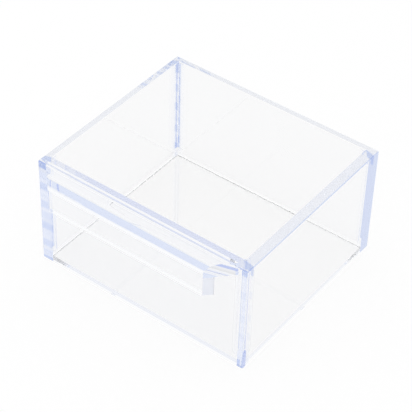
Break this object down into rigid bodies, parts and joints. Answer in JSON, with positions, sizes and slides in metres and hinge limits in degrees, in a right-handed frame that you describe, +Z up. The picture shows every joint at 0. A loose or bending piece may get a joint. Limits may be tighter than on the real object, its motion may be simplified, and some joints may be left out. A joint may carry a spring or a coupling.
{
  "type": "clear pull bin",
  "caption": "Open-topped clear acrylic bin with thick walls, a thin floor and a full-width pull handle that turns down in front of its rim.",
  "frame": {"origin": "centre of the bin's underside, without the handle", "axes": "+X to the right seen from the front, +Y to the back, +Z up; the handle is on the -Y side"},
  "size_m": [0.146, 0.1414, 0.0772],
  "materials": {
    "front_sheet": "clear cast acrylic, polished faces and edges",
    "back_sheet": "clear cast acrylic, polished faces and edges",
    "left_sheet": "clear cast acrylic, polished faces and edges",
    "right_sheet": "clear cast acrylic, polished faces and edges",
    "floor_sheet": "thin clear acrylic sheet, glossy",
    "ledge_strip": "clear acrylic strip, polished, rounded outer edge",
    "lip_strip": "clear acrylic strip, polished",
    "cement": "set clear acrylic cement, smooth and hollow-faced"
  },
  "bodies": {
    "root": {"front_panel": "front_sheet", "back_panel": "back_sheet", "left_panel": "left_sheet", "right_panel": "right_sheet", "floor_panel": "floor_sheet", "handle_ledge": "ledge_strip", "handle_lip": "lip_strip", "corner_bead_front_left": "cement", "corner_bead_front_right": "cement", "corner_bead_back_left": "cement", "corner_bead_back_right": "cement"}
  },
  "joints": []
}
